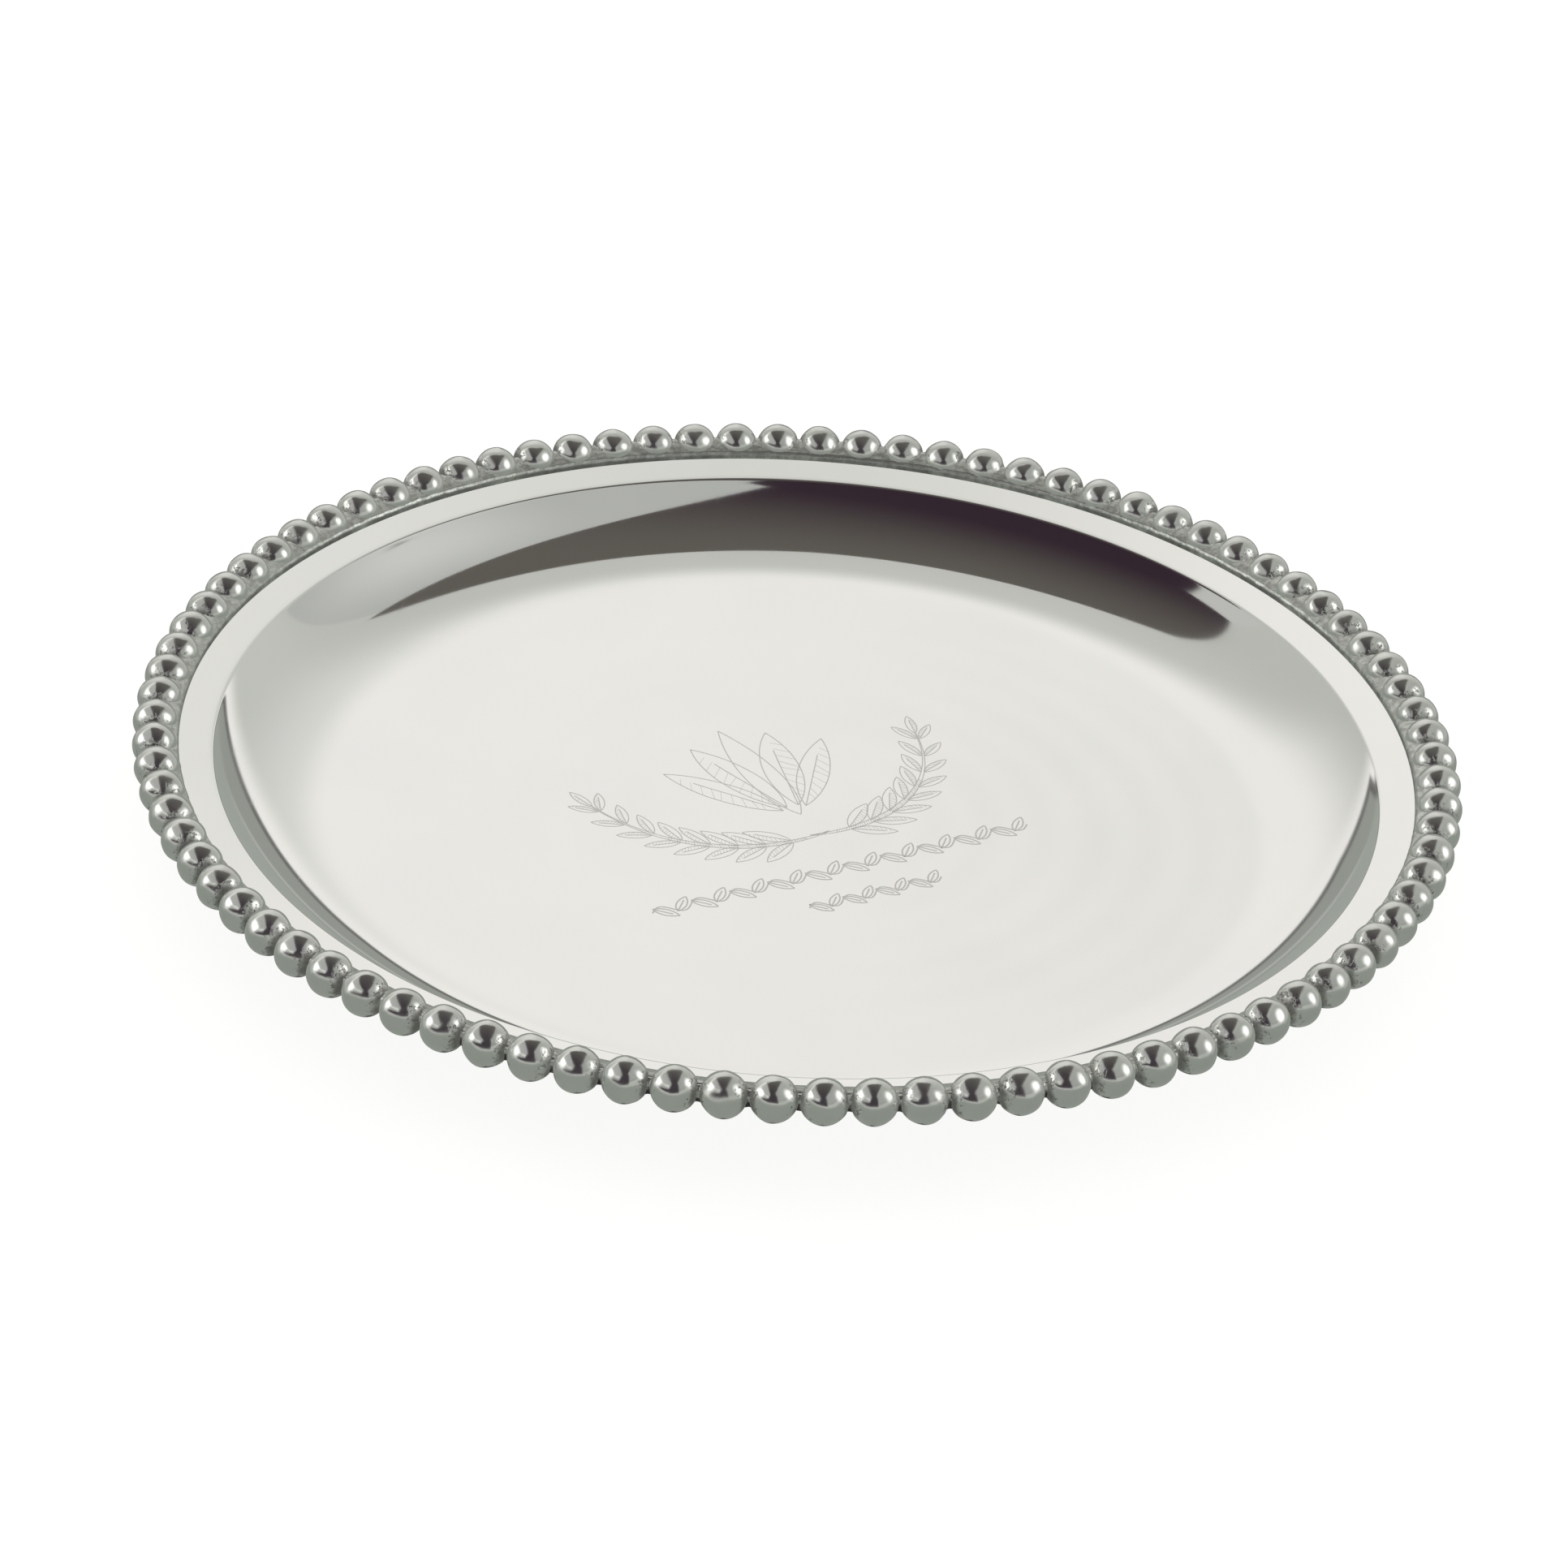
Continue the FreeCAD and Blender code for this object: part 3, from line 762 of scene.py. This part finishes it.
def make_camera():
    """A long lens aimed almost at the ring's centre, and rolled a little."""
    right = np.array([1, 0, 0])
    forward = np.array([0, math.cos(CAMERA_ELEVATION), -math.sin(CAMERA_ELEVATION)])
    up = np.cross(right, forward)
    position = -forward * CAMERA_DISTANCE
    right, forward = turn_pair(right, forward, AIM_RIGHT)
    up, forward = turn_pair(up, forward, AIM_UP)
    right, up = turn_pair(right, up, CAMERA_ROLL)
    pose = Matrix(np.column_stack([right, up, -forward]).tolist()).to_4x4()
    pose.translation = Vector(position)
    camera = bpy.data.objects.new("camera", bpy.data.cameras.new("camera"))
    camera.data.sensor_width = CAMERA_SENSOR
    camera.data.lens = CAMERA_LENS
    camera.matrix_world = (Matrix.Translation((0, 0, BEAD_HEIGHT))
                           @ Matrix.Rotation(CAMERA_AZIMUTH, 4, "Z") @ pose)
    bpy.context.scene.collection.objects.link(camera)
    bpy.context.scene.camera = camera


# The studio round the salver. It stays where it is when another view moves the camera. A place
# (u, v) in it is in degrees from the zenith, to the right of this script's camera and away from it.
# Polygons run anticlockwise.
BACKDROP, BACKDROP_GLOW = (0.50, 0.508, 0.48), (0.865, 0.853, 0.828)
BACKDROP_RIGHT = (0.60, 0.61, 0.58)
SOFTBOX, SOFTBOX_GLOW = (0.45, 0.458, 0.44), (0.60, 0.605, 0.59)
SIDE_LIGHT = (0.58, 0.585, 0.565)
LEFT_STRIP = (0.52, 0.525, 0.505)
FLAG_OLIVE, FLAG_PURPLE = (0.115, 0.106, 0.094), (0.034, 0.021, 0.030)
# These colours paint a reflection of the salver's own far border: grey, with a light line and a dark edge
# line.
BEHIND, BEHIND_SHINE, BEHIND_EDGE = (0.30, 0.315, 0.288), (0.5, 0.51, 0.49), (0.12, 0.12, 0.115)
# The darkest grey below the horizon is a painted shadow of the salver on the table.
TABLE_GREY, UNDER_SHADOW = (0.34, 0.365, 0.335), (0.07, 0.068, 0.065)
LAMP, HAZE = (1.25, 1.25, 1.22), (0.022, 0.024, 0.024)

BACKDROP_GLOW_PLACE = (-9, 58)
SOFTBOX_GLOW_PLACE = (61, 0)
UNDER_SHADOW_PLACE = (0, 146)
BEHIND_LEFT_PLACE = [(-53, 75.7), (-32, 77.5), (12, 92.4), (12, 150), (-29, 150)]
BEHIND_RIGHT_PLACE = [(-12, 93), (9, 80), (60, 78), (60, 150), (-12, 150)]
BEHIND_SHINE_LINE = ((60, 95), (-50, 92))
RIGHT_BOX_PLACE = [(35, 27), (10, -49), (40, -100), (95, -20), (75, 40)]
LEFT_STRIP_PLACE = [(-72, 12), (-70, -8), (-57, -4), (-60, 9)]

# Cards hung over the salver, at (x, y) with this script's camera on the -y side.
CEILING_CORNERS = [
    (-0.80, 0.19), (-0.62, -0.46), (-0.30, -0.62), (-1.0, -2.5), (1.0, -2.5), (0.16, -0.53),
    (0.10, -0.45), (0.305, 0.40), (0.0, 0.25), (-0.23, 0.28),
]
LEFT_SOFTBOX_CORNERS = [(-0.36, 0.32), (-0.16, -0.50), (-0.42, -0.95), (-1.6, -0.6), (-1.6, 0.5)]
LEFT_SOFTBOX_HEIGHT, HAZE_HEIGHT, CEILING_HEIGHT = 0.47, 0.48, 0.50
LAMP_DISTANCE = 1.5
LAMP_REACH = 0.72
LAMP_SIDES = 32
LAMP_PLACE = (64.0, -3.0)

PAPER = (0.42, 0.42, 0.415)
PAPER_GLOW = (1.0, 0.998, 0.992, 1.0)
PAPER_GLOW_STRENGTH = 0.84
FLOOR_REACH = 4.0
FLOOR_DROP = 0.3 * MM


def turned_to_front(tree, vector):
    """x, y and z of a place or a direction, turned so that CAMERA_AZIMUTH is on the -y side."""
    front = add_node(tree, "ShaderNodeVectorRotate", {"Vector": vector, "Angle": -CAMERA_AZIMUTH},
                     rotation_type="Z_AXIS")
    split = tree.nodes.new("ShaderNodeSeparateXYZ")
    tree.links.new(front.socket, split.inputs[0])
    return [Value(tree, socket) for socket in split.outputs]


class Sky:
    """The world's colour by direction, painted one soft-edged region over another."""

    def __init__(self, tree):
        self.tree = tree
        x, y, z = turned_to_front(tree, add_node(tree, "ShaderNodeTexCoord", output=0))
        flat = (x * x + y * y).power(0.5).most(0.0001)
        self.zenith_angle = z.math("ARCCOSINE") * math.degrees(1)
        self.u = x / flat * self.zenith_angle
        self.v = y / flat * self.zenith_angle
        self.place = add_node(tree, "ShaderNodeCombineXYZ", {0: self.u, 1: self.v, 2: 1.0})

    def side(self, start, end):
        """Degrees to the left of the line from start to end."""
        along = np.array(end, float) - np.array(start, float)
        along /= np.linalg.norm(along)
        across = (-along[1], along[0], along[1] * start[0] - along[0] * start[1])
        return add_node(self.tree, "ShaderNodeVectorMath", {0: self.place, 1: across},
                        output=1, operation="DOT_PRODUCT")

    def depth(self, corners):
        """Degrees inside a convex polygon of corners given anticlockwise, negative outside."""
        depth = self.side(corners[-1], corners[0])
        for start, end in zip(corners, corners[1:]):
            depth = depth.least(self.side(start, end))
        return depth

    def inside(self, corners, softness):
        """1 inside a polygon and 0 outside, changing over this many degrees either side."""
        return self.depth(corners).step(-softness, softness)

    def distance(self, u, v):
        """Degrees from a place, on the flat map of (u, v)."""
        return add_node(self.tree, "ShaderNodeVectorMath", {0: self.place, 1: (u, v, 1.0)},
                        output=1, operation="DISTANCE")

    def over(self, below, share, colour):
        """A colour laid over the ones painted before, where share is 1."""
        return blend_colours(self.tree, share, below, colour)


def paint_studio():
    """Pale paper behind, softboxes low on both sides, a dark gap in front and a grey table."""
    world = bpy.data.worlds.new("studio")
    bpy.context.scene.world = world
    world.use_nodes = True
    tree = world.node_tree
    sky = Sky(tree)
    glow = sky.distance(*BACKDROP_GLOW_PLACE).step(8, 62, 1.0, 0.0)
    colour = sky.over(BACKDROP, glow, BACKDROP_GLOW)
    colour = sky.over(colour, sky.u.step(-4, 16, 0.0, 0.5), BACKDROP_RIGHT)
    colour = sky.over(colour, sky.v.step(66, 76), BACKDROP_GLOW)
    colour = sky.over(colour, sky.v.step(30, 49, 0.8, 0.0), BACKDROP)

    # Painted reflection of the salver's own far border: a grey region low on the far side, with a light
    # line across it and a dark edge line round it.
    behind = sky.depth(BEHIND_LEFT_PLACE).most(sky.depth(BEHIND_RIGHT_PLACE))
    shine = sky.side(*BEHIND_SHINE_LINE).math("ABSOLUTE").step(0.5, 2.5, 0.6, 0.0)
    colour = sky.over(colour, behind.step(-0.6, 0.6), sky.over(BEHIND, shine, BEHIND_SHINE))
    edge = behind.math("ABSOLUTE").step(0.6, 2.2, 0.9, 0.0)
    colour = sky.over(colour, edge, BEHIND_EDGE)

    right_box = sky.inside(RIGHT_BOX_PLACE, 0.6)
    glow = sky.distance(*SOFTBOX_GLOW_PLACE).step(2, 38, 1.0, 0.0)
    colour = sky.over(colour, right_box, sky.over(SOFTBOX, glow, SOFTBOX_GLOW))

    front = (sky.v * -1.0).step(-6, 8)
    gap = (sky.zenith_angle - sky.u.step(-20, 20, 57, 68)).step(0, 1)
    colour = sky.over(colour, gap * front, FLAG_PURPLE)
    side_light = (sky.zenith_angle - sky.u.step(-20, 20, 77, 69)).step(0, 2)
    colour = sky.over(colour, side_light * front, SIDE_LIGHT)

    colour = sky.over(colour, sky.inside(LEFT_STRIP_PLACE, 1.0), LEFT_STRIP)
    colour = sky.over(colour, (sky.zenith_angle + front * 10.0).step(96, 100), TABLE_GREY)
    # Painted shadow of the salver on the table, well below the horizon.
    under = sky.distance(*UNDER_SHADOW_PLACE).step(8, 28, 1.0, 0.0)
    colour = sky.over(colour, under, UNDER_SHADOW)
    tree.links.new(colour.socket, tree.nodes["Background"].inputs["Color"])


def add_card(name, corners, height, build, receivers=None):
    """A flat card that only mirrors see, and of them only the receivers if they are given."""
    material = bpy.data.materials.new(name)
    material.use_nodes = True
    tree = material.node_tree
    tree.nodes.remove(tree.nodes["Principled BSDF"])
    feed(tree, build(tree), tree.nodes["Material Output"].inputs["Surface"])
    turn = Matrix.Rotation(CAMERA_AZIMUTH, 3, "Z")
    points = [turn @ Vector((x, y, height)) for x, y in corners]
    card = add_mesh(name, points, [tuple(range(len(corners)))], material, smooth=False)
    card.visible_camera = False
    card.visible_diffuse = False
    card.visible_shadow = False
    if receivers:
        card.light_linking.receiver_collection = receivers
    return card


def dark_card(tree):
    """Black cloth: brownish grey overhead, nearly black and purple in front."""
    x, y, _ = turned_to_front(tree, add_node(tree, "ShaderNodeTexCoord", output=3))
    near = (y + x * 0.5).step(-0.42, 0.30, 1.0, 0.0)
    colour = blend_colours(tree, near, FLAG_OLIVE, FLAG_PURPLE)
    return add_node(tree, "ShaderNodeEmission", {"Color": colour, "Strength": 1.0})


def clear_glow(tree, strength=1.0, colour=SOFTBOX):
    """Light added to what is behind the card, which stays in sight through it."""
    light = add_node(tree, "ShaderNodeEmission", {"Color": (*colour, 1.0), "Strength": strength})
    clear = add_node(tree, "ShaderNodeBsdfTransparent")
    return add_node(tree, "ShaderNodeAddShader", {0: light, 1: clear})


def haze(tree):
    """A veil that keeps the dark ceiling from being black in the beads."""
    return clear_glow(tree, colour=HAZE)


def lamp(tree):
    """A round lamp behind cloth: brightest in its middle."""
    where = add_node(tree, "ShaderNodeTexCoord", output=3)
    off_middle = add_node(tree, "ShaderNodeVectorMath", {0: where, 1: (0, 0, 0)},
                          output=1, operation="DISTANCE")
    return clear_glow(tree, off_middle.step(LAMP_REACH * 0.25, LAMP_REACH, 1.0, 0.0), LAMP)


def add_lamp(name, place, receivers):
    """A round card square to the salver's middle, at a place (u, v) of the studio."""
    zenith_angle = math.radians(math.hypot(*place))
    way = math.atan2(place[1], place[0])
    across = math.sin(zenith_angle)
    towards = Vector((across * math.cos(way), across * math.sin(way), math.cos(zenith_angle)))
    towards = Matrix.Rotation(CAMERA_AZIMUTH, 3, "Z") @ towards
    angles = np.linspace(0, 2 * np.pi, LAMP_SIDES + 1)[:-1]
    corners = [(LAMP_REACH * math.cos(a), LAMP_REACH * math.sin(a)) for a in angles]
    card = add_card(name, corners, 0.0, lamp, receivers)
    facing = towards.to_track_quat("Z", "Y").to_matrix().to_4x4()
    card.matrix_world = Matrix.Translation(towards * LAMP_DISTANCE) @ facing


def hang_cards(border):
    """The dark ceiling that everything mirrors, and the lights that only the border does."""
    add_card("dark_ceiling", CEILING_CORNERS, CEILING_HEIGHT, dark_card)
    add_card("left_softbox", LEFT_SOFTBOX_CORNERS, LEFT_SOFTBOX_HEIGHT, clear_glow, border)
    add_card("haze", CEILING_CORNERS, HAZE_HEIGHT, haze, border)
    for name, side in (("lamp_left", -1), ("lamp_right", 1)):
        add_lamp(name, (side * LAMP_PLACE[0], LAMP_PLACE[1]), border)


def pale_paper():
    """Pale paper that glows, so that it stays nearly white under the grey studio."""
    material = bpy.data.materials.new("pale_floor")
    material.use_nodes = True
    tree = material.node_tree
    shader = tree.nodes["Principled BSDF"]
    grain = noise(tree, place_texture(tree), 9.0, 4.0, 0.6)
    feed(tree, blend_colours(tree, grain, PAPER, tuple(c * 0.985 for c in PAPER)),
         shader.inputs["Base Color"])
    shader.inputs["Roughness"].default_value = 0.9
    shader.inputs["Specular IOR Level"].default_value = 0.1
    shader.inputs["Emission Color"].default_value = PAPER_GLOW
    shader.inputs["Emission Strength"].default_value = PAPER_GLOW_STRENGTH
    return material


def make_floor():
    """A pale floor that the camera sees. The silver mirrors the studio's grey table instead."""
    corners = [(x * FLOOR_REACH, y * FLOOR_REACH, -FLOOR_DROP)
               for x, y in ((-1, -1), (1, -1), (1, 1), (-1, 1))]
    floor = add_mesh("floor", corners, [(0, 1, 2, 3)], pale_paper())
    floor.visible_glossy = False
    floor.visible_diffuse = False


# ---------------------------------------------------------------- assembly

bead_material = metal("bead_silver", beaded)
beads_a_length = BEAD_COUNT // len(BORDER_LENGTHS)
made = [make_dish(), make_necks(), make_bank(), make_foot()]
for i, name in enumerate(BORDER_LENGTHS):
    made.append(make_beads(name, i * beads_a_length, beads_a_length))

# No piece is mirrored in another. The border is what the softbox, the haze and the lamps light.
border = bpy.data.collections.new("border")
for piece, node, finish in made:
    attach(piece, "root")
    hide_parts(node)
    piece.visible_glossy = False
    if node != "salver_dish":
        border.objects.link(piece)

ornament = make_ornament()
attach(ornament, "root")

paint_studio()
hang_cards(border)
make_floor()
make_camera()
bpy.context.scene.view_settings.view_transform = "Standard"
